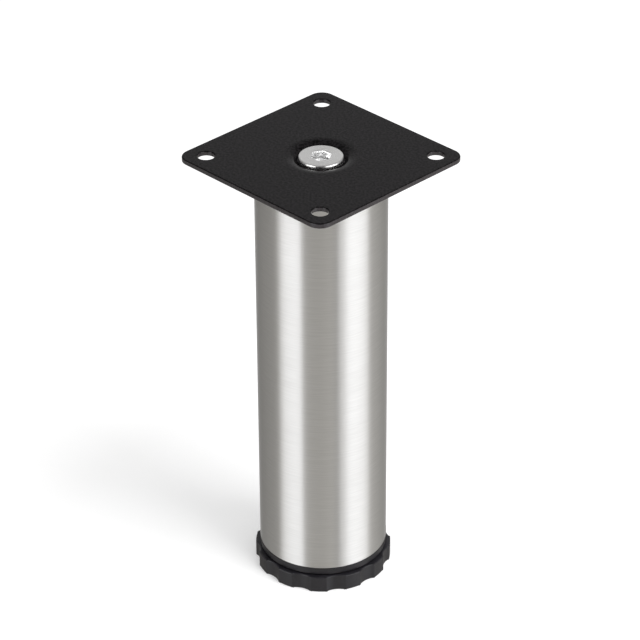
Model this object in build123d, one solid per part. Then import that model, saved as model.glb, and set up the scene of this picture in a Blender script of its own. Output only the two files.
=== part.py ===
from build123d import *
from math import cos, radians, sin, tan
import os

# Adjustable furniture leg: a steel tube with a pressed mounting plate bolted on its top end, and a
# plastic levelling foot that screws out of its bottom end. Millimetres, +Z up. The origin is on the
# floor, on the leg's axis. The foot is screwed right in.

# Whole leg
LEG_HEIGHT = 180.0
# Small gap left between pieces that stand one above the other and don't carry load
SHADOW_GAP = 0.3
# How much wider in radius a hole is than the thread that only passes through it
HOLE_CLEARANCE = 0.4

# Steel tube
TUBE_R = 25.0
TUBE_WALL = 1.0
TUBE_EDGE = 0.3

# Mounting plate, pressed from sheet
PLATE_SIDE = 76.0
PLATE_T = 2.0
PLATE_CORNER_R = 5.5
PLATE_TOP_EDGE_R = 0.5
PLATE_UNDER_EDGE = 0.3
SCREW_INSET = 8.0
SCREW_HOLE_R = 3.2
SCREW_HOLE_TOP_EDGE = 0.5
SCREW_HOLE_UNDER_EDGE = 0.6

# Dish pressed into the middle of the plate, which takes the bolt's head
DISH_R = 13.4
DISH_DEPTH = 2.5
DISH_SLOPE = 40.0
DISH_RIM_BEND_R = 2.5
DISH_FLOOR_BEND_R = 2.0

# Flat-headed bolt through the dish, and its nut
BOLT_R = 5.0
BOLT_LENGTH = 20.0
BOLT_POINT = 1.0
HEAD_R = 8.5
HEAD_T = 2.4
HEAD_BEVEL_WIDTH = 0.65
HEAD_BEVEL_DROP = 0.75
SOCKET_ACROSS = 7.0
SOCKET_DEPTH = 2.6
SOCKET_LEAD = 0.2
SOCKET_TURN = 2.0
TOP_NUT_ACROSS = 17.0
TOP_NUT_T = 8.0

# Both plastic plugs
PLUG_FIT = 0.05
PLUG_WALL = 2.0
FIN_REACH = 0.6
FIN_T = 1.0
FIN_PITCH = 4.0
RIB_COUNT = 6
RIB_T = 1.6
NUT_FIT = 0.1
THREAD_FIT = 0.05

# Top plug, under the dish
TOP_PLUG_HEIGHT = 22.0
TOP_WEB_T = 3.0
TOP_NUT_SEAT_T = 5.0
TOP_BOSS_R = 12.5
TOP_RIB_HEIGHT = 10.0
TOP_FIN_COUNT = 4

# Bottom plug, whose flange closes the tube
FLANGE_T = 3.0
FLANGE_EDGE = 0.4
FLANGE_RECESS_R = 21.5
FLANGE_RECESS_DEPTH = 0.8
BOTTOM_PLUG_DEPTH = 14.0
BOTTOM_BOSS_R = 12.5
BOTTOM_RIB_HEIGHT = 8.0
BOTTOM_FIN_COUNT = 3
BOTTOM_NUT_ACROSS = 17.0
BOTTOM_NUT_T = 8.0
BOTTOM_NUT_INSET = 1.5
BOTTOM_NUT_SEAT_T = 4.0
NUT_BEVEL_ANGLE = 30.0

# Levelling stud: thread length is what stands above the foot when it is screwed right in
STUD_R = 5.0
STUD_LENGTH = 27.5
STUD_POINT = 1.0
STUD_HEAD_R = 8.0
STUD_HEAD_T = 3.0
RUNNING_FIT = 0.05

# Scalloped foot
FOOT_R = 26.8
FOOT_HEIGHT = 6.8
LOBE_COUNT = 12
SCALLOP_ANGLE = 16.0
SCALLOP_DEPTH = 1.2
LOBE_CORNER_R = 0.4
LOBE_TURN = 11.3
FOOT_EDGE = 0.4
FOOT_TOP_T = 2.2
FOOT_RIM_T = 3.2
FOOT_BOSS_WALL = 4.0
FOOT_RIB_T = 1.4
FOOT_RIB_LIFT = 0.5

# Places and sizes that follow from the values above
FLANGE_Z = FOOT_HEIGHT + SHADOW_GAP
TUBE_Z = FLANGE_Z + FLANGE_T
PLATE_UNDER_Z = LEG_HEIGHT - PLATE_T
SCREW_PITCH = PLATE_SIDE - 2 * SCREW_INSET
BORE_R = TUBE_R - TUBE_WALL
FIN_R = BORE_R - PLUG_FIT
PLUG_R = FIN_R - FIN_REACH
PLUG_BORE_R = PLUG_R - PLUG_WALL
DISH_FLOOR_Z = LEG_HEIGHT - DISH_DEPTH
DISH_UNDER_Z = DISH_FLOOR_Z - PLATE_T
TOP_NUT_Z = DISH_UNDER_Z - TOP_NUT_SEAT_T - TOP_NUT_T
TOP_PLUG_TOP_Z = PLATE_UNDER_Z - SHADOW_GAP
TOP_PLUG_Z = TOP_PLUG_TOP_Z - TOP_PLUG_HEIGHT
BOTTOM_NUT_Z = FLANGE_Z + BOTTOM_NUT_INSET
BOTTOM_BOSS_TOP_Z = BOTTOM_NUT_Z + BOTTOM_NUT_T + BOTTOM_NUT_SEAT_T
FOOT_HOLLOW_Z = FOOT_HEIGHT - FOOT_TOP_T
STUD_HEAD_TOP_Z = FOOT_HOLLOW_Z - RUNNING_FIT
STUD_POCKET_R = STUD_HEAD_R + RUNNING_FIT
FOOT_BOSS_R = STUD_POCKET_R + FOOT_BOSS_WALL
FOOT_HOLLOW_R = FOOT_R - SCALLOP_DEPTH - FOOT_RIM_T
# A rib runs this far into the walls at its ends, so that it joins them
RIB_ROOT = 0.5
# Every cutter runs this far past the face that it cuts through
CUT_OVER = 1.0


def ring(outer_r, inner_r, low_z, high_z):
    """A plain ring about the leg's axis."""
    return Pos(0, 0, low_z) * extrude(Circle(outer_r) - Circle(inner_r), high_z - low_z)


def rod(radius, low_z, high_z):
    """A plain cylinder on the leg's axis."""
    return Pos(0, 0, low_z) * extrude(Circle(radius), high_z - low_z)


def hex_bar(across, low_z, high_z, turn=0.0):
    """A hexagonal prism on the leg's axis, sized across its flats."""
    outline = RegularPolygon(across / 2, 6, major_radius=False, rotation=turn)
    return Pos(0, 0, low_z) * extrude(outline, high_z - low_z)


def turned(points):
    """A solid turned about the leg's axis from a closed outline of (radius, height) points."""
    return revolve(Plane.XZ * make_face(Polyline(*points, close=True)), Axis.Z)


def radial_ribs(count, thickness, inner_r, outer_r, low_z, high_z, turn=0.0):
    """Upright ribs like spokes, rooted a little way into the walls that they join."""
    length = outer_r - inner_r + 2 * RIB_ROOT
    spoke = Pos((inner_r + outer_r) / 2, 0, (low_z + high_z) / 2) * Box(length, thickness, high_z - low_z)
    return [Rot(0, 0, turn + 360 * i / count) * spoke for i in range(count)]


def dish_curve(depth):
    """The dish's surface as it lies in the sheet, at a depth below the sheet's top face.

    From the flat of the plate it bends down, runs straight at the dish's slope and bends out into the
    floor. Every depth shares the two bends' centres, so the sheet keeps its thickness round them."""
    rim_bend = DISH_RIM_BEND_R - depth
    floor_bend = DISH_FLOOR_BEND_R + depth
    slope = radians(DISH_SLOPE)
    rim_centre = (DISH_R, LEG_HEIGHT - DISH_RIM_BEND_R)
    bends_drop = (DISH_RIM_BEND_R + DISH_FLOOR_BEND_R) * (1 - cos(slope))
    straight_width = (DISH_DEPTH - bends_drop) / tan(slope)
    floor_r = DISH_R - (DISH_RIM_BEND_R + DISH_FLOOR_BEND_R) * sin(slope) - straight_width
    floor_centre = (floor_r, DISH_FLOOR_Z + DISH_FLOOR_BEND_R)

    def on_rim(angle):
        return (rim_centre[0] - rim_bend * sin(angle), rim_centre[1] + rim_bend * cos(angle))

    def on_floor(angle):
        return (floor_centre[0] + floor_bend * sin(angle), floor_centre[1] - floor_bend * cos(angle))

    rim_arc = ThreePointArc(on_rim(0), on_rim(slope / 2), on_rim(slope))
    straight = Line(on_rim(slope), on_floor(slope))
    floor_arc = ThreePointArc(on_floor(slope), on_floor(slope / 2), on_floor(0))
    hole_edge = (BOLT_R + HOLE_CLEARANCE, DISH_FLOOR_Z - depth)
    floor = Line(on_floor(0), hole_edge)
    return [rim_arc, straight, floor_arc, floor], on_rim(0), hole_edge


def mounting_plate():
    """Square sheet with rolled edges, four screw holes and a pressed dish with the bolt's hole."""
    outline = RectangleRounded(PLATE_SIDE, PLATE_SIDE, PLATE_CORNER_R)
    sheet = Pos(0, 0, PLATE_UNDER_Z) * extrude(outline, PLATE_T)
    sheet = fillet(sheet.edges().group_by(Axis.Z)[-1], PLATE_TOP_EDGE_R)
    hole = rod(SCREW_HOLE_R, PLATE_UNDER_Z - CUT_OVER, LEG_HEIGHT + CUT_OVER)
    sheet -= GridLocations(SCREW_PITCH, SCREW_PITCH, 2, 2) * hole
    sheet = chamfer(sheet.faces().sort_by(Axis.Z)[-1].inner_wires().edges(), SCREW_HOLE_TOP_EDGE)
    sheet = chamfer(sheet.faces().sort_by(Axis.Z)[0].inner_wires().edges(), SCREW_HOLE_UNDER_EDGE)
    sheet = chamfer(sheet.faces().sort_by(Axis.Z)[0].outer_wire().edges(), PLATE_UNDER_EDGE)
    sheet -= rod(DISH_R, PLATE_UNDER_Z - CUT_OVER, LEG_HEIGHT + CUT_OVER)
    top, top_rim, top_hole = dish_curve(0)
    under, under_rim, under_hole = dish_curve(PLATE_T)
    section = make_face(top + under + [Line(top_rim, under_rim), Line(top_hole, under_hole)])
    return sheet + revolve(Plane.XZ * section, Axis.Z)


def plate_bolt():
    """Bolt with a thin bevelled head, a pointed end and a hex socket with a countersunk mouth."""
    head_top = DISH_FLOOR_Z + HEAD_T
    tip = DISH_FLOOR_Z - BOLT_LENGTH
    bolt = turned([
        (0, head_top),
        (HEAD_R - HEAD_BEVEL_WIDTH, head_top),
        (HEAD_R, head_top - HEAD_BEVEL_DROP),
        (HEAD_R, DISH_FLOOR_Z),
        (BOLT_R, DISH_FLOOR_Z),
        (BOLT_R, tip + BOLT_POINT),
        (BOLT_R - BOLT_POINT, tip),
        (0, tip),
    ])
    socket_r = SOCKET_ACROSS / 2 / cos(radians(30))
    bolt -= hex_bar(SOCKET_ACROSS, head_top - SOCKET_DEPTH, head_top + CUT_OVER, SOCKET_TURN)
    mouth = turned([
        (0, head_top - SOCKET_LEAD),
        (socket_r, head_top - SOCKET_LEAD),
        (socket_r + SOCKET_LEAD, head_top),
        (0, head_top),
    ])
    return bolt - mouth


def hex_nut(across, thickness, hole_r, low_z):
    """Plain hex nut, its corners bevelled at both faces as a turned nut's are."""
    corner_r = across / 2 / cos(radians(30))
    bevel = (corner_r - across / 2) * tan(radians(NUT_BEVEL_ANGLE))
    high_z = low_z + thickness
    blank = turned([
        (hole_r, low_z),
        (across / 2, low_z),
        (corner_r, low_z + bevel),
        (corner_r, high_z - bevel),
        (across / 2, high_z),
        (hole_r, high_z),
    ])
    return blank & hex_bar(across, low_z, high_z)


def plug_fins(count, first_z):
    """Thin rings round a plug that grip the tube's bore."""
    lows = [first_z + FIN_PITCH * i for i in range(count)]
    return [ring(FIN_R, PLUG_R - RIB_ROOT, low, low + FIN_T) for low in lows]


def top_plug():
    """Cup that carries the dish's floor on its web, with ribs to a boss that traps the bolt's nut."""
    web_z = DISH_UNDER_Z - TOP_WEB_T
    nut_top = TOP_NUT_Z + TOP_NUT_T
    plug = ring(PLUG_R, PLUG_BORE_R, TOP_PLUG_Z, TOP_PLUG_TOP_Z)
    plug += rod(PLUG_BORE_R + RIB_ROOT, web_z, DISH_UNDER_Z)
    plug += rod(TOP_BOSS_R, TOP_PLUG_Z, DISH_UNDER_Z)
    plug += radial_ribs(RIB_COUNT, RIB_T, TOP_BOSS_R, PLUG_BORE_R, web_z - TOP_RIB_HEIGHT, web_z)
    plug += plug_fins(TOP_FIN_COUNT, TOP_PLUG_Z + FIN_PITCH)
    plug -= rod(BOLT_R + HOLE_CLEARANCE, TOP_PLUG_Z, DISH_UNDER_Z + CUT_OVER)
    plug -= hex_bar(TOP_NUT_ACROSS + 2 * NUT_FIT, TOP_PLUG_Z - CUT_OVER, nut_top)
    return plug


def tube():
    """Plain tube, its four end edges broken."""
    barrel = ring(TUBE_R, BORE_R, TUBE_Z, PLATE_UNDER_Z)
    ends = barrel.edges().group_by(Axis.Z)[0] + barrel.edges().group_by(Axis.Z)[-1]
    return chamfer(ends, TUBE_EDGE)


def bottom_plug():
    """Insert with a flange as wide as the tube, a finned skirt, and a boss that traps the stud's nut."""
    nut_top = BOTTOM_NUT_Z + BOTTOM_NUT_T
    flange = rod(TUBE_R, FLANGE_Z, TUBE_Z)
    flange = chamfer(flange.edges().group_by(Axis.Z)[0], FLANGE_EDGE)
    plug = flange + ring(PLUG_R, PLUG_BORE_R, TUBE_Z, TUBE_Z + BOTTOM_PLUG_DEPTH)
    plug += rod(BOTTOM_BOSS_R, TUBE_Z, BOTTOM_BOSS_TOP_Z)
    plug += radial_ribs(RIB_COUNT, RIB_T, BOTTOM_BOSS_R, PLUG_BORE_R, TUBE_Z, TUBE_Z + BOTTOM_RIB_HEIGHT)
    plug += plug_fins(BOTTOM_FIN_COUNT, TUBE_Z + FIN_T)
    plug -= ring(FLANGE_RECESS_R, BOTTOM_BOSS_R, FLANGE_Z - CUT_OVER, FLANGE_Z + FLANGE_RECESS_DEPTH)
    plug -= hex_bar(BOTTOM_NUT_ACROSS + 2 * NUT_FIT, FLANGE_Z - CUT_OVER, nut_top)
    plug -= rod(STUD_R + HOLE_CLEARANCE, nut_top - CUT_OVER, BOTTOM_BOSS_TOP_Z + CUT_OVER)
    return plug


def levelling_stud():
    """Threaded stud with a round head that the foot is moulded round."""
    top = FOOT_HEIGHT + STUD_LENGTH
    return turned([
        (0, STUD_HEAD_TOP_Z - STUD_HEAD_T),
        (STUD_HEAD_R, STUD_HEAD_TOP_Z - STUD_HEAD_T),
        (STUD_HEAD_R, STUD_HEAD_TOP_Z),
        (STUD_R, STUD_HEAD_TOP_Z),
        (STUD_R, top - STUD_POINT),
        (STUD_R - STUD_POINT, top),
        (0, top),
    ])


def scalloped_outline():
    """Round outline with hollows cut into it all round, which leave flat-topped lobes between them.

    The cutting circle passes through both ends of a hollow and its deepest point."""
    half_chord = FOOT_R * sin(radians(SCALLOP_ANGLE / 2))
    chord_x = FOOT_R * cos(radians(SCALLOP_ANGLE / 2))
    sagitta = chord_x - (FOOT_R - SCALLOP_DEPTH)
    cutter_r = (half_chord ** 2 + sagitta ** 2) / (2 * sagitta)
    cutter_x = FOOT_R - SCALLOP_DEPTH + cutter_r
    first_hollow = LOBE_TURN + 180 / LOBE_COUNT
    cutters = PolarLocations(cutter_x, LOBE_COUNT, first_hollow) * Circle(cutter_r)
    outline = Circle(FOOT_R) - cutters
    return fillet(outline.vertices(), LOBE_CORNER_R)


def foot():
    """Moulded disc, hollow underneath, with a rib to every lobe and a boss round the stud's head."""
    disc = extrude(scalloped_outline(), FOOT_HEIGHT)
    disc = chamfer(disc.edges().group_by(Axis.Z)[-1] + disc.edges().group_by(Axis.Z)[0], FOOT_EDGE)
    disc -= ring(FOOT_HOLLOW_R, FOOT_BOSS_R, -CUT_OVER, FOOT_HOLLOW_Z)
    ribs_top = FOOT_HOLLOW_Z + RIB_ROOT
    disc += radial_ribs(
        LOBE_COUNT, FOOT_RIB_T, FOOT_BOSS_R, FOOT_HOLLOW_R, FOOT_RIB_LIFT, ribs_top, LOBE_TURN
    )
    disc -= rod(STUD_POCKET_R, -CUT_OVER, FOOT_HOLLOW_Z)
    disc -= rod(STUD_R + RUNNING_FIT, FOOT_HOLLOW_Z - CUT_OVER, FOOT_HEIGHT + CUT_OVER)
    return disc


PIECES = {
    "mounting_plate": mounting_plate(),
    "plate_bolt": plate_bolt(),
    "top_plug": top_plug(),
    "top_nut": hex_nut(TOP_NUT_ACROSS, TOP_NUT_T, BOLT_R + THREAD_FIT, TOP_NUT_Z),
    "tube": tube(),
    "bottom_plug": bottom_plug(),
    "bottom_nut": hex_nut(BOTTOM_NUT_ACROSS, BOTTOM_NUT_T, STUD_R + THREAD_FIT, BOTTOM_NUT_Z),
    "levelling_stud": levelling_stud(),
    "foot": foot(),
}

os.makedirs("parts", exist_ok=True)
for name, piece in PIECES.items():
    export_step(piece, f"parts/{name}.step")
    print(name, "volume", round(piece.volume, 1), "mm3, height", round(piece.bounding_box().size.Z, 2))
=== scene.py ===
from math import cos, hypot, pi, radians, sin, tan

import bmesh
import bpy
from mathutils import Euler, Matrix, Vector


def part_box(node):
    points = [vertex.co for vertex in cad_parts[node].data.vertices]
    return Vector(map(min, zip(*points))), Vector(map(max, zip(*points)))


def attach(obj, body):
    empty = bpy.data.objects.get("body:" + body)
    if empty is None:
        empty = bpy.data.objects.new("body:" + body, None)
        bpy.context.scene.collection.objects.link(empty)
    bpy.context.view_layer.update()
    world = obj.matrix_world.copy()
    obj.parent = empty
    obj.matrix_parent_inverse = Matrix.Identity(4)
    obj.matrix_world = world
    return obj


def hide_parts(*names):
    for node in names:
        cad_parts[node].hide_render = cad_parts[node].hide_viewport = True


# Adjustable furniture leg: brushed tube, black plate with its bolt, and a scalloped levelling foot.
# Everything is in metres, with the origin on the floor on the leg's axis and +Z up.
# A radius ends in _R, a thickness in _T, and an _EDGE is how far an edge is rounded off.

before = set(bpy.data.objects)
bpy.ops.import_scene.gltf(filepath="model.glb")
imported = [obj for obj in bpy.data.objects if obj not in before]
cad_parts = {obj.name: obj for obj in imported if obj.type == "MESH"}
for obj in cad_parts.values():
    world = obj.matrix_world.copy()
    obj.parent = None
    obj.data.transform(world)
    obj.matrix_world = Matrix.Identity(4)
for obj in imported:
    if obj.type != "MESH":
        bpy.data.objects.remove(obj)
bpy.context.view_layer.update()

MM = 0.001

# Tube
TUBE_R = 25.0 * MM
TUBE_WALL = 1.0 * MM
TUBE_EDGE = 0.3 * MM
TUBE_LOW, TUBE_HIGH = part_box("tube")[0].z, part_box("tube")[1].z

# Mounting plate and its pressed dish
PLATE_TOP = 180.0 * MM
PLATE_T = 2.0 * MM
PLATE_SIDE = 76.0 * MM
PLATE_CORNER_R = 5.5 * MM
PLATE_TOP_EDGE = 0.5 * MM
PLATE_UNDER_EDGE = 0.3 * MM
SCREW_SPREAD = 30.0 * MM
SCREW_HOLE_R = 3.2 * MM
HOLE_TOP_EDGE = 0.5 * MM
HOLE_UNDER_EDGE = 0.6 * MM
# Edges within this of a screw hole's middle belong to it
HOLE_REACH = 1.5 * SCREW_HOLE_R
SCREW_ROUND = 64
# Half the side of the square of sheet that a hole or the dish is opened in
SCREW_CELL = 5.0 * MM
DISH_CELL = 18.0 * MM
# Faces whose normals rise less than this are the sheet's cut edges, whose coat is painted lighter as
# a painted highlight
CUT_EDGE_RISE = 0.3
DISH_R = 14.4 * MM
DISH_DEPTH = 2.5 * MM
DISH_LIP_BEND = 10.0 * MM
DISH_LIP_SLOPE = radians(22.0)
DISH_SHOULDER_BEND = 2.1 * MM
DISH_WALL_SLOPE = radians(50.0)
DISH_FLOOR_BEND = 1.0 * MM
BOLT_HOLE_R = 5.4 * MM

# Bolt
BOLT_R = 5.0 * MM
BOLT_LENGTH = 20.0 * MM
BOLT_POINT = 1.0 * MM
HEAD_R = 8.5 * MM
HEAD_T = 2.4 * MM
HEAD_SEAT = PLATE_TOP - DISH_DEPTH
HEAD_TOP = HEAD_SEAT + HEAD_T
HEAD_EDGE_WIDTH = 0.65 * MM
HEAD_EDGE_DROP = 0.75 * MM
HEAD_EDGE_STEPS = 8
HEAD_UNDER_EDGE = 0.25 * MM
SOCKET_ACROSS = 7.0 * MM
SOCKET_DEPTH = 2.6 * MM
SOCKET_LEAD = 0.2 * MM
SOCKET_TURN = radians(2.0)
# The head is flat out to here from the socket's mouth
SOCKET_LAND_R = 5.0 * MM
# The drilled hole that the socket was broached from leaves its point in the floor
SOCKET_DRILL_R = 2.8 * MM
SOCKET_DRILL_POINT = 1.2 * MM

# Foot
FOOT_R = 26.8 * MM
FOOT_HEIGHT = 6.8 * MM
FOOT_TOP_T = 2.2 * MM
FOOT_ROUND = 360
LOBE_COUNT = 12
LOBE_TURN = radians(11.3)
SCALLOP_ANGLE = radians(16.0)
SCALLOP_DEPTH = 1.2 * MM
SCALLOP_ROUND = 96
LOBE_CORNER = 0.45 * MM
# An upright edge that turns more than this is a lobe's corner
LOBE_CORNER_TURN = radians(15.0)
FOOT_EDGE = 0.5 * MM
FOOT_HOLLOW_R = 22.4 * MM
FOOT_HOLLOW_EDGE = 0.5 * MM
FOOT_BOSS_R = 12.05 * MM
FOOT_RIB_T = 1.4 * MM
FOOT_RIB_LIFT = 0.5 * MM
FOOT_RIB_EDGE = 0.25 * MM
# How far a rib runs into the rim, the boss and the top
FOOT_RIB_ROOT = 0.5 * MM
STUD_POCKET_R = 8.05 * MM
STUD_HOLE_R = 5.05 * MM

# Levelling stud
STUD_R = 5.0 * MM
STUD_LOW, STUD_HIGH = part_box("levelling_stud")[0].z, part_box("levelling_stud")[1].z
STUD_POINT = 1.0 * MM
STUD_HEAD_R = 8.0 * MM
STUD_HEAD_T = 3.0 * MM
STUD_ROUND = 96
THREAD_PITCH = 1.5 * MM
THREAD_CREST = THREAD_PITCH / 8
THREAD_DEPTH = 0.85 * MM
THREAD_TURNS = 20
THREAD_STEPS = 36
# The thread winds up from here, is trimmed off at its start, and the plain shank ends just above
THREAD_LOW = FOOT_HEIGHT - 1.0 * MM
THREAD_START = FOOT_HEIGHT - 0.5 * MM
SHANK_TOP = FOOT_HEIGHT - 0.4 * MM
SHANK_EDGE = 0.3 * MM
# How far the shank's core reaches up into the thread
CORE_ROOT = 1.5 * MM
# How much wider than the thread the bar is that trims it
TRIM_SPARE = 1.0 * MM

# Camera, found from the photograph's measured edges
CAMERA_TURN = radians(45.5695)
CAMERA_DISTANCE = 0.963109
CAMERA_HEIGHT = 0.695597
CAMERA_PITCH = radians(31.3506)
CAMERA_YAW = radians(-0.0439)
CAMERA_ROLL = radians(-0.3511)
CAMERA_LENS_MM = 166.319
CAMERA_SENSOR_MM = 36.0
CAMERA_NEAR = 0.01
CAMERA_FAR = 50.0

# Light
WHITE = (1, 1, 1, 1)
ROOM_LIGHT = 0.68
FLOOR_SIDE = 12.0
FLOOR_SHADE = 0.8
FLOOR_LIFT = 0.30
KEY_TURN = 54
KEY_ELEVATION = 57
KEY_DISTANCE = 1.2
KEY_SIDE = 0.6
KEY_POWER = 11
LEG_MIDDLE = Vector((0, 0, 90.0 * MM))

# Finishes. Each _GRAIN and _CLOUD is the size of a texture's features, _ROUGH is the roughness from
# the texture's low parts to its high ones, and _RELIEF is how deep the texture stands
LINE_SIZE = 0.35 * MM
LINE_STRETCH = (0.03, 0.03, 1.0)
LINE_RELIEF = 0.003 * MM
STEEL_TONES = (0.565, 0.562, 0.557), (0.645, 0.642, 0.637)
STEEL_ROUGH = 0.31, 0.37
COAT_TONE = Vector((1.06, 0.92, 1.02))
COAT_GRAIN = 0.45 * MM
COAT_RELIEF = 0.005 * MM
COAT_ROUGH = 0.16, 0.24
COAT_SPECKLE = 0.9 * MM
COAT_SPECKLE_RANGE = 0.36, 0.64
COAT_CLOUD = 6.0 * MM
COAT_CLOUD_DEPTH = 0.12
COAT_CLOUD_SHARE = 0.15
RING_SIZE = 0.18 * MM
RING_RELIEF = 0.006 * MM
RING_TONES = (0.71, 0.705, 0.70), (0.79, 0.785, 0.775)
RING_ROUGH = 0.26, 0.36
ZINC_CLOUD = 1.2 * MM
ZINC_CLOUD_DEPTH = 0.04
ZINC_RELIEF = 0.003 * MM
PLASTIC_GRAIN = 0.3 * MM
PLASTIC_RELIEF = 0.012 * MM
PLASTIC_CLOUD = 4.0 * MM
PLASTIC_TONES = (0.0105, 0.0100, 0.0125), (0.0150, 0.0140, 0.0170)
PLASTIC_ROUGH = 0.36, 0.46
PLASTIC_GLOSS = 0.35
# Most of a noise texture lies between these two values
TEXTURE_RANGE = 0.3, 0.7
# A quarter turn from the tangent, so highlights are drawn out across the lines that run round
ACROSS_THE_LINES = 0.25

# Facets round a full circle, and across a rounded edge or one bend of the sheet
ROUND = 192
EDGE_FACETS = 4
SMALL_EDGE_FACETS = 3
FINE_EDGE_FACETS = 2
CORNER_FACETS = 16
LIP_FACETS = 16
BEND_FACETS = 6
# Edges that turn more than this, in degrees, are shaded sharp
CREASE = 35.0
FOOT_CREASE = 32.0
BOLT_CREASE = 25.0
# Points nearer than this are the same place
SAME_PLACE = 0.002 * MM
# Faces whose normals rise less than this stand upright
UPRIGHT = 0.1


# Shaping by hand

def deselect():
    """Leaves edit mode, with nothing selected."""
    if bpy.context.mode != "OBJECT":
        bpy.ops.object.mode_set(mode="OBJECT")
    bpy.ops.object.select_all(action="DESELECT")


def named(name):
    """Names the primitive that was just added, and puts its place into its mesh."""
    piece = bpy.context.active_object
    piece.name = piece.data.name = name
    bpy.ops.object.transform_apply(location=True, rotation=True, scale=True)
    return piece


def edit(piece):
    """Opens the piece in edit mode, with nothing else selected."""
    deselect()
    piece.select_set(True)
    bpy.context.view_layer.objects.active = piece
    bpy.ops.object.mode_set(mode="EDIT")


def pick_edges(piece, wanted):
    """Selects the edges of the piece in edit mode that the test wants, and nothing else."""
    bpy.ops.mesh.select_mode(type="EDGE")
    bpy.ops.mesh.select_all(action="DESELECT")
    mesh = bmesh.from_edit_mesh(piece.data)
    for edge in mesh.edges:
        if wanted(edge):
            edge.select_set(True)
    bmesh.update_edit_mesh(piece.data)


def pick_faces(piece, wanted):
    """Selects the faces of the piece in edit mode that the test wants, and nothing else."""
    bpy.ops.mesh.select_mode(type="FACE")
    bpy.ops.mesh.select_all(action="DESELECT")
    mesh = bmesh.from_edit_mesh(piece.data)
    for face in mesh.faces:
        if wanted(face):
            face.select_set(True)
    bmesh.update_edit_mesh(piece.data)


def ends_at(edge, height):
    """True for an edge with both ends at a height."""
    return all(abs(end.co.z - height) < SAME_PLACE for end in edge.verts)


def on_circle(edge, radius, height):
    """True for an edge that lies on a level circle round the leg's axis."""
    return ends_at(edge, height) and all(
        abs(hypot(end.co.x, end.co.y) - radius) < SAME_PLACE for end in edge.verts
    )


def beside_upright(edge):
    """True for an edge of an upright face."""
    return any(abs(face.normal.z) < UPRIGHT for face in edge.link_faces)


def extrude_ring(profile):
    """Extrudes the selected ring through a profile of (radius, height) points."""
    for (radius, height), (next_radius, next_height) in zip(profile, profile[1:]):
        bpy.ops.mesh.extrude_region_move(
            TRANSFORM_OT_translate={"value": (0, 0, next_height - height)}
        )
        size = next_radius / radius
        bpy.ops.transform.resize(value=(size, size, 1), center_override=(0, 0, 0))


def turned(name, profile, segments=ROUND):
    """Starts from a circle and turns a profile of (radius, height) points out of it, ring by ring."""
    deselect()
    bpy.ops.mesh.primitive_circle_add(
        vertices=segments, radius=profile[0][0], location=(0, 0, profile[0][1])
    )
    piece = named(name)
    edit(piece)
    bpy.ops.mesh.select_all(action="SELECT")
    extrude_ring(profile)
    close_up()
    return piece


def cap(piece, height):
    """Closes the piece's open ring at a height."""
    pick_edges(piece, lambda edge: edge.is_boundary and ends_at(edge, height))
    bpy.ops.mesh.edge_face_add()


def close_up():
    """Merges what lies in one place and turns every face outwards."""
    bpy.ops.mesh.select_all(action="SELECT")
    bpy.ops.mesh.remove_doubles(threshold=SAME_PLACE / 4)
    bpy.ops.mesh.normals_make_consistent(inside=False)


def apply_modifier(piece, kind, **settings):
    """Adds a modifier to the piece and applies it at once."""
    deselect()
    piece.select_set(True)
    bpy.context.view_layer.objects.active = piece
    modifier = piece.modifiers.new(kind.title(), kind)
    for key, value in settings.items():
        setattr(modifier, key, value)
    bpy.ops.object.modifier_apply(modifier=modifier.name)


def cut(piece, *cutters, operation="DIFFERENCE"):
    """Cuts the cutters out of the piece, or joins them to it, and removes them."""
    for cutter in cutters:
        apply_modifier(piece, "BOOLEAN", object=cutter, operation=operation, solver="EXACT")
        bpy.data.objects.remove(cutter)


def smooth(piece, angle=CREASE):
    """Shades the piece smooth, except at edges that turn more than an angle in degrees."""
    deselect()
    piece.select_set(True)
    bpy.context.view_layer.objects.active = piece
    bpy.ops.object.shade_smooth_by_angle(angle=radians(angle))
    apply_modifier(piece, "WEIGHTED_NORMAL", weight=80, keep_sharp=True)


def spun_copies(piece, count, turn):
    """Copies the piece round the leg's axis, each copy with its own mesh, and joins them all."""
    copies = [piece]
    for i in range(1, count):
        twin = piece.copy()
        twin.data = piece.data.copy()
        bpy.context.scene.collection.objects.link(twin)
        twin.data.transform(Matrix.Rotation(turn * i, 4, "Z"))
        copies.append(twin)
    deselect()
    for twin in copies:
        twin.select_set(True)
    bpy.context.view_layer.objects.active = piece
    bpy.ops.object.join()
    return piece


# Tube

def make_tube():
    """A plain tube with its cut ends taken off round."""
    bore = TUBE_R - TUBE_WALL
    tube = turned("brushed_tube", [
        (TUBE_R, TUBE_LOW),
        (TUBE_R, TUBE_HIGH),
        (bore, TUBE_HIGH),
        (bore, TUBE_LOW),
        (TUBE_R, TUBE_LOW),
    ])
    rims = [(radius, height) for radius in (TUBE_R, bore) for height in (TUBE_LOW, TUBE_HIGH)]
    pick_edges(tube, lambda edge: any(on_circle(edge, *rim) for rim in rims))
    bpy.ops.mesh.bevel(offset=TUBE_EDGE, segments=SMALL_EDGE_FACETS, affect="EDGES")
    smooth(tube)
    return tube


# Mounting plate

def arc(centre, radius, start, end, steps):
    """Points (radius, height) along an arc. Angle 0 is its highest point, and more goes inwards."""
    angles = [start + (end - start) * i / steps for i in range(steps + 1)]
    return [(centre[0] - radius * sin(a), centre[1] + radius * cos(a)) for a in angles]


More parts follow.
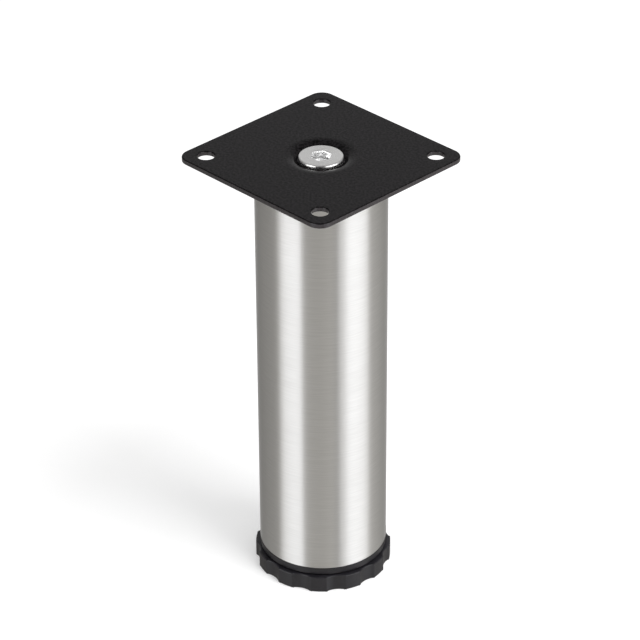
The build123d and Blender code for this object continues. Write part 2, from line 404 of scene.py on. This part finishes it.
def dish_profile():
    """The dish's top side, from the flat of the plate in to the bolt's hole."""
    lip_middle = (DISH_R, PLATE_TOP - DISH_LIP_BEND)
    lip = arc(lip_middle, DISH_LIP_BEND, 0, DISH_LIP_SLOPE, LIP_FACETS)
    lip_r, lip_height = lip[-1]
    shoulder_middle = (
        lip_r + DISH_SHOULDER_BEND * sin(DISH_LIP_SLOPE),
        lip_height - DISH_SHOULDER_BEND * cos(DISH_LIP_SLOPE),
    )
    shoulder = arc(shoulder_middle, DISH_SHOULDER_BEND, DISH_LIP_SLOPE, DISH_WALL_SLOPE, BEND_FACETS)
    wall_r, wall_height = shoulder[-1]
    floor_height = PLATE_TOP - DISH_DEPTH
    drop = wall_height - floor_height - DISH_FLOOR_BEND * (1 - cos(DISH_WALL_SLOPE))
    floor_r = wall_r - drop / tan(DISH_WALL_SLOPE) - DISH_FLOOR_BEND * sin(DISH_WALL_SLOPE)
    floor_middle = (floor_r, floor_height + DISH_FLOOR_BEND)
    floor = arc(floor_middle, DISH_FLOOR_BEND, pi + DISH_WALL_SLOPE, pi, BEND_FACETS)
    return lip + shoulder[1:] + floor + [(BOLT_HOLE_R, floor_height)]


def round_off(piece, centre, radius):
    """Extrudes the selected loop in place and turns the new one into a circle about the centre."""
    bpy.ops.mesh.extrude_region_move(TRANSFORM_OT_translate={"value": (0, 0, 0)})
    bpy.ops.transform.tosphere(value=1, center_override=centre)
    corner = next(vert.co for vert in bmesh.from_edit_mesh(piece.data).verts if vert.select)
    size = radius / (corner - Vector(centre)).length
    bpy.ops.transform.resize(value=(size, size, 1), center_override=centre)


def open_hole(plate, centre, radius, half_cell, segments):
    """Opens one square cell of the sheet and runs its edge in to a round hole."""
    def in_cell(point, slack):
        return all(abs(point[i] - centre[i]) < half_cell + slack for i in (0, 1))

    pick_faces(plate, lambda face: in_cell(face.calc_center_median(), 0))
    bpy.ops.mesh.delete(type="FACE")
    pick_edges(plate, lambda edge: edge.is_boundary and all(
        in_cell(end.co, SAME_PLACE) for end in edge.verts
    ))
    bpy.ops.mesh.subdivide(number_cuts=segments // 4 - 1)
    round_off(plate, (*centre, PLATE_TOP), radius)


def make_plate():
    """Rounds and parts a square sheet, opens its holes, presses its dish and thickens it."""
    deselect()
    bpy.ops.mesh.primitive_plane_add(size=PLATE_SIDE, location=(0, 0, PLATE_TOP))
    plate = named("pressed_plate")
    edit(plate)
    bpy.ops.mesh.select_all(action="SELECT")
    bpy.ops.mesh.bevel(offset=PLATE_CORNER_R, segments=CORNER_FACETS, affect="VERTICES")
    for reach in (DISH_CELL, SCREW_SPREAD - SCREW_CELL, SCREW_SPREAD + SCREW_CELL):
        for side in (-1, 1):
            for normal in ((1, 0, 0), (0, 1, 0)):
                line = [side * reach * part for part in normal]
                bpy.ops.mesh.select_all(action="SELECT")
                bpy.ops.mesh.bisect(plane_co=line, plane_no=normal, threshold=SAME_PLACE / 10)
    open_hole(plate, (0, 0), DISH_R, DISH_CELL, ROUND)
    for x in (-SCREW_SPREAD, SCREW_SPREAD):
        for y in (-SCREW_SPREAD, SCREW_SPREAD):
            open_hole(plate, (x, y), SCREW_HOLE_R, SCREW_CELL, SCREW_ROUND)
    pick_edges(plate, lambda edge: on_circle(edge, DISH_R, PLATE_TOP))
    extrude_ring(dish_profile())
    close_up()
    pick_faces(plate, lambda face: True)
    if sum(face.normal.z for face in bmesh.from_edit_mesh(plate.data).faces) < 0:
        bpy.ops.mesh.flip_normals()
    apply_modifier(plate, "SOLIDIFY", thickness=PLATE_T, offset=-1, use_even_offset=True)
    edit(plate)
    for height, outer, hole in (
        (PLATE_TOP, PLATE_TOP_EDGE, HOLE_TOP_EDGE),
        (PLATE_TOP - PLATE_T, PLATE_UNDER_EDGE, HOLE_UNDER_EDGE),
    ):
        pick_edges(plate, lambda edge: is_rim(edge, height) and not at_screw_hole(edge))
        bpy.ops.mesh.bevel(offset=outer, segments=EDGE_FACETS, affect="EDGES")
        pick_edges(plate, lambda edge: is_rim(edge, height) and at_screw_hole(edge))
        bpy.ops.mesh.bevel(offset=hole, segments=EDGE_FACETS, affect="EDGES")
    smooth(plate)
    return plate


def is_rim(edge, height):
    """True for a rim of the sheet's upper or lower face."""
    return beside_upright(edge) and ends_at(edge, height)


def at_screw_hole(edge):
    """True for an edge of a screw hole."""
    return all(
        hypot(abs(end.co.x) - SCREW_SPREAD, abs(end.co.y) - SCREW_SPREAD) < HOLE_REACH
        for end in edge.verts
    )


# Bolt

def make_bolt():
    """Works out from the socket's mouth over the head and down to the tip, then sinks the socket."""
    tip = HEAD_SEAT - BOLT_LENGTH
    deselect()
    bpy.ops.mesh.primitive_circle_add(
        vertices=6, radius=SOCKET_ACROSS / 2 / cos(pi / 6), location=(0, 0, HEAD_TOP),
        rotation=(0, 0, SOCKET_TURN - pi / 6)
    )
    bolt = named("bolt")
    edit(bolt)
    bpy.ops.mesh.select_all(action="SELECT")
    bpy.ops.mesh.subdivide(number_cuts=ROUND // 6 - 1)
    round_off(bolt, (0, 0, HEAD_TOP), SOCKET_LAND_R)
    turns = [pi / 2 * i / HEAD_EDGE_STEPS for i in range(HEAD_EDGE_STEPS + 1)]
    extrude_ring([(SOCKET_LAND_R, HEAD_TOP)] + [
        (HEAD_R - HEAD_EDGE_WIDTH * (1 - sin(turn)), HEAD_TOP - HEAD_EDGE_DROP * (1 - cos(turn)))
        for turn in turns
    ] + [
        (HEAD_R, HEAD_SEAT),
        (BOLT_R, HEAD_SEAT),
        (BOLT_R, tip + BOLT_POINT),
        (BOLT_R - BOLT_POINT, tip),
    ])
    bpy.ops.mesh.edge_face_add()
    pick_edges(bolt, lambda edge: edge.is_boundary)
    bpy.ops.mesh.extrude_region_move(TRANSFORM_OT_translate={"value": (0, 0, -SOCKET_DEPTH)})
    round_off(bolt, (0, 0, HEAD_TOP - SOCKET_DEPTH), SOCKET_DRILL_R)
    bpy.ops.mesh.extrude_region_move(TRANSFORM_OT_translate={"value": (0, 0, -SOCKET_DRILL_POINT)})
    bpy.ops.mesh.merge(type="CENTER")
    close_up()
    pick_edges(bolt, lambda edge: ends_at(edge, HEAD_TOP) and beside_upright(edge))
    bpy.ops.mesh.bevel(offset=SOCKET_LEAD, segments=FINE_EDGE_FACETS, affect="EDGES")
    pick_edges(bolt, lambda edge: on_circle(edge, HEAD_R, HEAD_SEAT))
    bpy.ops.mesh.bevel(offset=HEAD_UNDER_EDGE, segments=FINE_EDGE_FACETS, affect="EDGES")
    smooth(bolt, BOLT_CREASE)
    return bolt


# Levelling stud

def make_thread():
    """Screws one tooth's outline up round the axis and trims the winding to a bar with a point."""
    root = STUD_R - THREAD_DEPTH
    flank = (THREAD_PITCH - THREAD_CREST) / 2
    deselect()
    bpy.ops.mesh.primitive_plane_add(size=THREAD_PITCH, location=(root, 0, THREAD_LOW))
    thread = named("stud")
    edit(thread)
    bpy.ops.mesh.select_mode(type="VERT")
    bpy.ops.mesh.select_all(action="SELECT")
    bpy.ops.mesh.merge(type="CENTER")
    for step in ((THREAD_DEPTH, 0, flank), (0, 0, THREAD_CREST), (-THREAD_DEPTH, 0, flank)):
        bpy.ops.mesh.extrude_vertices_move(TRANSFORM_OT_translate={"value": step})
    apply_modifier(
        thread, "SCREW", axis="Z", screw_offset=THREAD_PITCH, iterations=THREAD_TURNS,
        steps=THREAD_STEPS, render_steps=THREAD_STEPS, use_merge_vertices=True,
        merge_threshold=SAME_PLACE
    )
    edit(thread)
    bpy.ops.mesh.select_all(action="SELECT")
    bpy.ops.mesh.remove_doubles(threshold=SAME_PLACE)
    pick_edges(thread, lambda edge: edge.is_boundary)
    bpy.ops.mesh.fill()
    close_up()
    deselect()
    bpy.ops.mesh.primitive_cylinder_add(
        vertices=STUD_ROUND, radius=STUD_R + TRIM_SPARE, depth=STUD_HIGH - THREAD_START,
        location=(0, 0, (STUD_HIGH + THREAD_START) / 2)
    )
    trim = named("trimming_bar")
    edit(trim)
    pick_edges(trim, lambda edge: ends_at(edge, STUD_HIGH))
    bpy.ops.mesh.bevel(offset=STUD_POINT + TRIM_SPARE, segments=1, affect="EDGES")
    close_up()
    cut(thread, trim, operation="INTERSECT")
    return thread


def make_stud():
    """The threaded stud on its round head, joined by a plain shank."""
    stud = make_thread()
    root = STUD_R - THREAD_DEPTH
    head_top = STUD_LOW + STUD_HEAD_T
    core_top = SHANK_TOP + CORE_ROOT
    core = turned("stud_head", [
        (STUD_HEAD_R / 2, STUD_LOW),
        (STUD_HEAD_R, STUD_LOW),
        (STUD_HEAD_R, head_top),
        (STUD_R, head_top),
        (STUD_R, SHANK_TOP),
        (root, SHANK_TOP + SHANK_EDGE),
        (root, core_top),
        (root / 2, core_top),
    ], segments=STUD_ROUND)
    cap(core, STUD_LOW)
    cap(core, core_top)
    close_up()
    cut(stud, core, operation="UNION")
    smooth(stud, BOLT_CREASE)
    return stud


# Foot

def make_scallops():
    """Round bars, one between each two lobes, that cut the grip into the foot's rim."""
    half_chord = FOOT_R * sin(SCALLOP_ANGLE / 2)
    sagitta = FOOT_R * cos(SCALLOP_ANGLE / 2) - (FOOT_R - SCALLOP_DEPTH)
    scallop_r = (half_chord ** 2 + sagitta ** 2) / (2 * sagitta)
    reach = FOOT_R - SCALLOP_DEPTH + scallop_r
    first = LOBE_TURN + pi / LOBE_COUNT
    deselect()
    bpy.ops.mesh.primitive_cylinder_add(
        vertices=SCALLOP_ROUND, radius=scallop_r, depth=2 * FOOT_HEIGHT,
        location=(reach * cos(first), reach * sin(first), FOOT_HEIGHT / 2)
    )
    return spun_copies(named("scallops"), LOBE_COUNT, 2 * pi / LOBE_COUNT)


def make_hollow(hollow_top):
    """The ring of space under the foot, between its rim and the boss round the stud's head."""
    hollow = turned("hollow", [
        (FOOT_HOLLOW_R, -FOOT_HEIGHT),
        (FOOT_HOLLOW_R, hollow_top),
        (FOOT_BOSS_R, hollow_top),
        (FOOT_BOSS_R, -FOOT_HEIGHT),
        (FOOT_HOLLOW_R, -FOOT_HEIGHT),
    ])
    pick_edges(hollow, lambda edge: any(
        on_circle(edge, radius, hollow_top) for radius in (FOOT_HOLLOW_R, FOOT_BOSS_R)
    ))
    bpy.ops.mesh.bevel(offset=FOOT_HOLLOW_EDGE, segments=SMALL_EDGE_FACETS, affect="EDGES")
    return hollow


def make_ribs(hollow_top):
    """A rib to every lobe, with its lower edges taken off round."""
    length = FOOT_HOLLOW_R - FOOT_BOSS_R + 2 * FOOT_RIB_ROOT
    rib_top = hollow_top + FOOT_RIB_ROOT
    deselect()
    bpy.ops.mesh.primitive_cube_add(size=1)
    rib = bpy.context.active_object
    rib.scale = (length, FOOT_RIB_T, rib_top - FOOT_RIB_LIFT)
    rib.location = ((FOOT_HOLLOW_R + FOOT_BOSS_R) / 2, 0, (rib_top + FOOT_RIB_LIFT) / 2)
    rib = named("foot_ribs")
    edit(rib)
    pick_edges(rib, lambda edge: ends_at(edge, FOOT_RIB_LIFT) and runs_outwards(edge))
    bpy.ops.mesh.bevel(offset=FOOT_RIB_EDGE, segments=SMALL_EDGE_FACETS, affect="EDGES")
    deselect()
    rib.data.transform(Matrix.Rotation(LOBE_TURN, 4, "Z"))
    return spun_copies(rib, LOBE_COUNT, 2 * pi / LOBE_COUNT)


def make_pocket(hollow_top):
    """The space for the stud's head, and its hole through the foot's top."""
    high = 2 * FOOT_HEIGHT
    pocket = turned("pocket", [
        (STUD_POCKET_R / 2, -FOOT_HEIGHT),
        (STUD_POCKET_R, -FOOT_HEIGHT),
        (STUD_POCKET_R, hollow_top),
        (STUD_HOLE_R, hollow_top),
        (STUD_HOLE_R, high),
        (STUD_HOLE_R / 2, high),
    ], segments=STUD_ROUND)
    cap(pocket, -FOOT_HEIGHT)
    cap(pocket, high)
    close_up()
    return pocket


def make_foot():
    """A thick disc with a scalloped rim, a ribbed hollow below, and a pocket for the stud's head."""
    deselect()
    bpy.ops.mesh.primitive_cylinder_add(
        vertices=FOOT_ROUND, radius=FOOT_R, depth=FOOT_HEIGHT, location=(0, 0, FOOT_HEIGHT / 2)
    )
    foot = named("scalloped_foot")
    cut(foot, make_scallops())
    edit(foot)
    pick_edges(foot, is_lobe_corner)
    bpy.ops.mesh.bevel(offset=LOBE_CORNER, segments=EDGE_FACETS, affect="EDGES")
    pick_edges(foot, is_face_rim)
    bpy.ops.mesh.bevel(offset=FOOT_EDGE, segments=EDGE_FACETS, affect="EDGES")
    hollow_top = FOOT_HEIGHT - FOOT_TOP_T
    cut(foot, make_hollow(hollow_top))
    cut(foot, make_ribs(hollow_top), operation="UNION")
    cut(foot, make_pocket(hollow_top))
    smooth(foot, FOOT_CREASE)
    return foot


def runs_outwards(edge):
    """True for an edge along the X axis."""
    return abs(edge.verts[0].co.y - edge.verts[1].co.y) < SAME_PLACE


def is_lobe_corner(edge):
    """True for the upright edges where a lobe meets a scallop."""
    low, high = sorted(edge.verts, key=lambda end: end.co.z)
    tall = high.co.z - low.co.z > FOOT_HEIGHT / 2
    return tall and len(edge.link_faces) == 2 and edge.calc_face_angle() > LOBE_CORNER_TURN


def is_face_rim(edge):
    """True for the edges round the foot's top and bottom faces."""
    return beside_upright(edge) and (ends_at(edge, 0) or ends_at(edge, FOOT_HEIGHT))


tube = make_tube()
plate = make_plate()
bolt = make_bolt()
stud = make_stud()
foot = make_foot()

for piece, body, node, slot in (
    (tube, "leg", "tube", "brushed_stainless"),
    (plate, "leg", "mounting_plate", "black_powder_coat"),
    (bolt, "leg", "plate_bolt", "zinc_steel"),
    (stud, "stud", "levelling_stud", "zinc_steel"),
    (foot, "foot", "foot", "black_plastic"),
):
    deselect()
    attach(piece, body)
    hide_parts(node)


# Materials

def material_with(name):
    """A new material, its node tree and its shader."""
    material = bpy.data.materials.new(name)
    material.use_nodes = True
    tree = material.node_tree
    return material, tree, tree.nodes["Principled BSDF"]


def fill_in(tree, node, inputs):
    """Sets or links a node's inputs by name or number."""
    for key, value in inputs.items():
        if isinstance(value, bpy.types.NodeSocket):
            tree.links.new(value, node.inputs[key])
        else:
            node.inputs[key].default_value = value


def add(tree, kind, inputs=None, **settings):
    """Adds a node with its settings, and fills in its inputs."""
    node = tree.nodes.new(kind)
    for key, value in settings.items():
        setattr(node, key, value)
    fill_in(tree, node, inputs or {})
    return node


def place(tree, scale=(1, 1, 1), rotation=(0, 0, 0)):
    """The point on the piece, scaled and turned: Object coordinates, in metres before the scale."""
    source = add(tree, "ShaderNodeTexCoord").outputs["Object"]
    mapping = add(tree, "ShaderNodeMapping", {"Vector": source, "Scale": scale, "Rotation": rotation})
    return mapping.outputs["Vector"]


def spread(tree, value, low, high, to_low, to_high):
    """Maps a value evenly from one range to another, and holds it at the ends."""
    node = add(tree, "ShaderNodeMapRange", {
        "Value": value, "From Min": low, "From Max": high, "To Min": to_low, "To Max": to_high,
    })
    return node.outputs["Result"]


def noise(tree, size, detail=2.0, scale=(1, 1, 1), roughness=0.5):
    """Noise whose features are about as large as size, in metres."""
    node = add(tree, "ShaderNodeTexNoise", {
        "Vector": place(tree, scale), "Scale": 1 / size, "Detail": detail, "Roughness": roughness,
    })
    return node.outputs["Fac"]


def varied(tree, texture, ends):
    """A number that follows a texture from the first end to the second."""
    return spread(tree, texture, *TEXTURE_RANGE, *ends)


def bump(tree, height, depth):
    """A normal that follows a texture as a relief of a depth."""
    node = add(tree, "ShaderNodeBump", {"Height": height, "Distance": depth, "Strength": 1.0})
    return node.outputs["Normal"]


def tint(tree, value, *stops):
    """A colour ramp over a value. Each stop is a place and a colour."""
    node = add(tree, "ShaderNodeValToRGB", {"Fac": value})
    ramp = node.color_ramp
    while len(ramp.elements) < len(stops):
        ramp.elements.new(0.5)
    for element, (where, colour) in zip(ramp.elements, stops):
        element.position = where
        element.color = (*colour, 1) if len(colour) == 3 else colour
    return node.outputs["Color"]


def toned(tree, texture, tones):
    """A colour that follows a texture from the first tone to the second."""
    return tint(tree, texture, *zip(TEXTURE_RANGE, tones))


def blend(tree, factor, first, second):
    """The first colour at a factor of 0, and the second at 1."""
    inputs = {"Factor": factor, 6: first, 7: second}
    return add(tree, "ShaderNodeMix", inputs, data_type="RGBA").outputs[2]


def lines_round(tree, strength):
    """Shader inputs for fine lines that run round the leg's axis."""
    tangent = add(tree, "ShaderNodeTangent", direction_type="RADIAL", axis="Z")
    return {
        "Anisotropic": strength, "Anisotropic Rotation": ACROSS_THE_LINES,
        "Tangent": tangent.outputs["Tangent"],
    }


def brushed_steel():
    """Brushed round the tube: the fine lines run level, and draw reflections out up and down."""
    material, tree, shader = material_with("brushed_stainless_steel")
    lines = noise(tree, LINE_SIZE, detail=4.0, scale=LINE_STRETCH, roughness=0.6)
    fill_in(tree, shader, {
        "Metallic": 1.0,
        "Base Color": toned(tree, lines, STEEL_TONES),
        "Roughness": varied(tree, lines, STEEL_ROUGH),
        "Normal": bump(tree, lines, LINE_RELIEF),
        **lines_round(tree, strength=1.0),
    })
    return material


def powder_coat(name, shade, gloss, grit):
    """Satin black with the coat's fine orange-peel grain, a grit of specks and a faint cloudiness."""
    material, tree, shader = material_with(name)
    grain = noise(tree, COAT_GRAIN, detail=3.0)
    black = COAT_TONE * shade
    specks = zip(COAT_SPECKLE_RANGE, (black * (1 - grit), black * (1 + grit)))
    speckle = tint(tree, noise(tree, COAT_SPECKLE, detail=1.0), *specks)
    drift = toned(tree, noise(tree, COAT_CLOUD, detail=3.0), (
        black * (1 - COAT_CLOUD_DEPTH), black * (1 + COAT_CLOUD_DEPTH),
    ))
    fill_in(tree, shader, {
        "Base Color": blend(tree, COAT_CLOUD_SHARE, speckle, drift),
        "Roughness": varied(tree, grain, COAT_ROUGH),
        "Specular IOR Level": gloss,
        "Normal": bump(tree, grain, COAT_RELIEF),
    })
    return material


def turned_zinc():
    """Bright zinc over the fine rings that the lathe left."""
    material, tree, shader = material_with("turned_zinc")
    across = add(tree, "ShaderNodeVectorMath", {0: place(tree, (1, 1, 0))}, operation="LENGTH")
    steps = add(tree, "ShaderNodeCombineXYZ", {"X": across.outputs["Value"]}).outputs["Vector"]
    rings = add(tree, "ShaderNodeTexNoise", {
        "Vector": steps, "Scale": 1 / RING_SIZE, "Detail": 2.0,
    }).outputs["Fac"]
    fill_in(tree, shader, {
        "Metallic": 1.0,
        "Base Color": toned(tree, rings, RING_TONES),
        "Roughness": varied(tree, rings, RING_ROUGH),
        "Normal": bump(tree, rings, RING_RELIEF),
        **lines_round(tree, strength=0.6),
    })
    return material


def zinc_plate(name, shade, rough):
    """Plain zinc plate, slightly uneven."""
    material, tree, shader = material_with(name)
    cloud = noise(tree, ZINC_CLOUD, detail=3.0)
    fill_in(tree, shader, {
        "Metallic": 1.0,
        "Base Color": toned(tree, cloud, (
            (shade - ZINC_CLOUD_DEPTH,) * 3, (shade + ZINC_CLOUD_DEPTH,) * 3,
        )),
        "Roughness": varied(tree, cloud, rough),
        "Normal": bump(tree, cloud, ZINC_RELIEF),
    })
    return material


def moulded_plastic():
    """Satin black plastic as it comes from the mould."""
    material, tree, shader = material_with("black_moulded_plastic")
    grain = noise(tree, PLASTIC_GRAIN, detail=2.0)
    cloud = noise(tree, PLASTIC_CLOUD, detail=3.0)
    fill_in(tree, shader, {
        "Base Color": toned(tree, cloud, PLASTIC_TONES),
        "Roughness": varied(tree, cloud, PLASTIC_ROUGH),
        "Specular IOR Level": PLASTIC_GLOSS,
        "Normal": bump(tree, grain, PLASTIC_RELIEF),
    })
    return material


def finish_with(piece, *materials):
    """Gives the piece these materials, and no others."""
    piece.data.materials.clear()
    for material in materials:
        piece.data.materials.append(material)


def coat_number(face):
    """The plate's coat on a face: 0 on the sheet and 1 on its cut edges, painted lighter as a painted
    highlight.
    """
    return int(abs(face.normal.z) < CUT_EDGE_RISE)


def zinc_number(face):
    """The zinc on a face of the bolt: 0 where it was turned; down the socket, 1 on the walls and 3 on
    the drill point, both painted lighter as painted light, and 2 on the flat ring at the walls' foot,
    painted dark as painted shade.
    """
    below = HEAD_TOP - face.center.z
    if hypot(*face.center.xy) > SOCKET_LAND_R:
        return 0
    if not SAME_PLACE < below < SOCKET_DEPTH + SOCKET_DRILL_POINT:
        return 0
    return 1 + (below > SOCKET_DEPTH - SAME_PLACE) + (below > SOCKET_DEPTH + SAME_PLACE)


steel = brushed_steel()
coat = powder_coat("black_powder_coat", shade=0.0054, gloss=0.08, grit=0.95)
# The cut edges get a lighter, glossier copy of the coat, a painted highlight for the light they catch
coat_painted_light_on_edges = powder_coat("coat_painted_light_on_cut_edges", shade=0.03, gloss=0.45, grit=0.25)
lathe_zinc = turned_zinc()
zinc = zinc_plate("bright_zinc", shade=0.74, rough=(0.2, 0.3))
# Down the socket, the walls and the drill point are painted lighter zinc as painted light, and the
# flat ring at the walls' foot is painted dark as painted shade
socket_walls_painted_light_zinc = zinc_plate("socket_walls_painted_light_zinc", shade=0.94, rough=(0.26, 0.34))
socket_corner_painted_shade_zinc = zinc_plate("socket_corner_painted_shade_zinc", shade=0.25, rough=(0.3, 0.4))
drill_point_painted_light_zinc = zinc_plate("drill_point_painted_light_zinc", shade=0.93, rough=(0.3, 0.4))
plastic = moulded_plastic()
finish_with(tube, steel)
finish_with(plate, coat, coat_painted_light_on_edges)
for face in plate.data.polygons:
    face.material_index = coat_number(face)
finish_with(bolt, lathe_zinc, socket_walls_painted_light_zinc, socket_corner_painted_shade_zinc, drill_point_painted_light_zinc)
for face in bolt.data.polygons:
    face.material_index = zinc_number(face)
finish_with(stud, zinc)
finish_with(foot, plastic)
finish_with(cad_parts["top_plug"], plastic)
finish_with(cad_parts["bottom_plug"], plastic)
finish_with(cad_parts["top_nut"], zinc)
finish_with(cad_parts["bottom_nut"], zinc)


# Floor, light and camera

def around_leg(tree, vector):
    """0 to 1 once round the leg, with 0.5 towards the camera and more to its right."""
    facing = add(tree, "ShaderNodeMapping", {
        "Vector": vector, "Rotation": (0, 0, pi / 2 - CAMERA_TURN),
    }).outputs["Vector"]
    swept = add(tree, "ShaderNodeTexGradient", {"Vector": facing}, gradient_type="RADIAL")
    return swept.outputs["Fac"]


# The studio as the leg mirrors it. Each stop is a turn in degrees round the leg, 0 towards the camera
# and positive to its right, and a brightness: two softboxes, a dark camera side, a white back.
GROUND_STOPS = [
    (-180, 1.1), (-158, 1.1), (-153, 0.28), (-139, 0.28), (-122, 0.4), (-95, 0.47),
    (-74, 0.6), (-67, 1.05), (-39, 1.08), (-33, 0.72), (0, 0.74), (20, 0.84),
    (27, 0.4), (39, 0.55), (46, 1.2), (79, 1.2), (84, 0.72), (103, 0.66),
    (130, 0.45), (152, 0.36), (158, 1.1), (180, 1.1),
]
WALL_STOPS = [
    (-180, 0.66), (-158, 0.66), (-150, 0.3), (-78, 0.3), (-72, 3.8), (-36, 3.8),
    (-31, 0.06), (24, 0.06), (29, 2.8), (39, 3.2), (46, 4.0), (80, 4.0),
    (88, 0.6), (150, 0.3), (158, 0.66), (180, 0.66),
]
CEILING = 0.3
# The ground turns into the walls, and the walls into the ceiling, between these heights of a ray
HORIZON = -0.05, 0.05
WALLS_END = 0.68, 0.80
# A colour ramp's colours end at 1, so it holds brightness divided by this
BRIGHTEST = 4.0
# Stops dimmer than this are surroundings, and the others are lights
DIMMEST_LIGHT = 0.9
WARM = (1.03, 1.0, 0.94)
NEUTRAL = (1.0, 1.0, 1.0)


def studio_ring(tree, direction, stops, dim_tone):
    """Brightness round the leg, from the stops. The surroundings have the dim tone."""
    ramp_stops = []
    for turn, level in stops:
        tone = dim_tone if level < DIMMEST_LIGHT else NEUTRAL
        ramp_stops.append(((turn + 180) / 360, tuple(level * part / BRIGHTEST for part in tone)))
    return tint(tree, around_leg(tree, direction), *ramp_stops)


def make_floor():
    """A pale floor that shows the leg's shadow and stays out of its reflections."""
    deselect()
    bpy.ops.mesh.primitive_plane_add(size=FLOOR_SIDE, location=(0, 0, 0))
    floor = named("floor")
    floor.visible_glossy = False
    material = bpy.data.materials.new("pale_floor")
    material.use_nodes = True
    material.cycles.emission_sampling = "NONE"
    tree = material.node_tree
    tree.nodes.remove(tree.nodes["Principled BSDF"])
    pale = 3 * (FLOOR_SHADE,) + (1,)
    paper = add(tree, "ShaderNodeBsdfDiffuse", {"Color": pale}).outputs["BSDF"]
    lift = add(tree, "ShaderNodeEmission", {"Color": WHITE, "Strength": FLOOR_LIFT})
    lit = add(tree, "ShaderNodeAddShader", {0: paper, 1: lift.outputs["Emission"]}).outputs["Shader"]
    from_camera = add(tree, "ShaderNodeLightPath").outputs["Is Camera Ray"]
    whole = add(tree, "ShaderNodeMixShader", {0: from_camera, 1: paper, 2: lit}).outputs["Shader"]
    tree.links.new(whole, tree.nodes["Material Output"].inputs["Surface"])
    finish_with(floor, material)


def make_world():
    """White to the camera, the studio to mirrored rays, and soft even light to everything else."""
    world = bpy.data.worlds.new("studio")
    bpy.context.scene.world = world
    world.use_nodes = True
    world.cycles.sampling_method = "NONE"
    tree = world.node_tree
    plain = tree.nodes["Background"]
    fill_in(tree, plain, {"Color": WHITE, "Strength": ROOM_LIGHT})
    white = add(tree, "ShaderNodeBackground", {"Color": WHITE, "Strength": 1.0})
    direction = add(tree, "ShaderNodeTexCoord").outputs["Generated"]
    height = add(tree, "ShaderNodeSeparateXYZ", {"Vector": direction}).outputs["Z"]
    ground = studio_ring(tree, direction, GROUND_STOPS, WARM)
    walls = studio_ring(tree, direction, WALL_STOPS, NEUTRAL)
    ceiling = 3 * (CEILING / BRIGHTEST,) + (1,)
    above = blend(tree, spread(tree, height, *WALLS_END, 0, 1), walls, ceiling)
    around = blend(tree, spread(tree, height, *HORIZON, 0, 1), ground, above)
    studio = add(tree, "ShaderNodeBackground", {"Color": around, "Strength": BRIGHTEST})
    path = add(tree, "ShaderNodeLightPath").outputs
    mirrored = add(tree, "ShaderNodeMath", {
        0: path["Is Glossy Ray"], 1: path["Is Transmission Ray"],
    }, operation="MAXIMUM")
    seen = add(tree, "ShaderNodeMixShader", {
        0: mirrored.outputs["Value"], 1: plain.outputs["Background"], 2: studio.outputs["Background"],
    })
    whole = add(tree, "ShaderNodeMixShader", {
        0: path["Is Camera Ray"], 1: seen.outputs["Shader"], 2: white.outputs["Background"],
    })
    tree.links.new(whole.outputs["Shader"], tree.nodes["World Output"].inputs["Surface"])


def add_softbox(name, turn, elevation, distance, size, energy):
    """A square lamp that faces the leg. The turn is from the camera's direction, to its right."""
    angle = CAMERA_TURN + radians(turn)
    rise = radians(elevation)
    back = Vector((sin(angle) * cos(rise), -cos(angle) * cos(rise), sin(rise)))
    lamp = bpy.data.lights.new(name, "AREA")
    lamp.shape = "SQUARE"
    lamp.size = size
    lamp.energy = energy
    holder = bpy.data.objects.new(name, lamp)
    bpy.context.scene.collection.objects.link(holder)
    holder.location = LEG_MIDDLE + back * distance
    holder.rotation_euler = back.to_track_quat("Z", "Y").to_euler()
    holder.visible_glossy = False


def make_camera():
    """The photograph's camera, from its fitted place and turns."""
    camera = bpy.data.cameras.new("camera")
    camera.lens = CAMERA_LENS_MM
    camera.sensor_width = CAMERA_SENSOR_MM
    camera.clip_start = CAMERA_NEAR
    camera.clip_end = CAMERA_FAR
    holder = bpy.data.objects.new("camera", camera)
    bpy.context.scene.collection.objects.link(holder)
    stand = Matrix.Translation((
        CAMERA_DISTANCE * sin(CAMERA_TURN), -CAMERA_DISTANCE * cos(CAMERA_TURN), CAMERA_HEIGHT,
    ))
    aim = Euler((pi / 2 - CAMERA_PITCH, 0, CAMERA_TURN - CAMERA_YAW)).to_matrix()
    roll = Matrix.Rotation(CAMERA_ROLL, 3, "Z")
    holder.matrix_world = stand @ (aim @ roll).to_4x4()
    bpy.context.scene.camera = holder


make_floor()
make_world()
add_softbox("key_softbox", KEY_TURN, KEY_ELEVATION, KEY_DISTANCE, KEY_SIDE, KEY_POWER)
make_camera()
bpy.context.scene.view_settings.view_transform = "Standard"
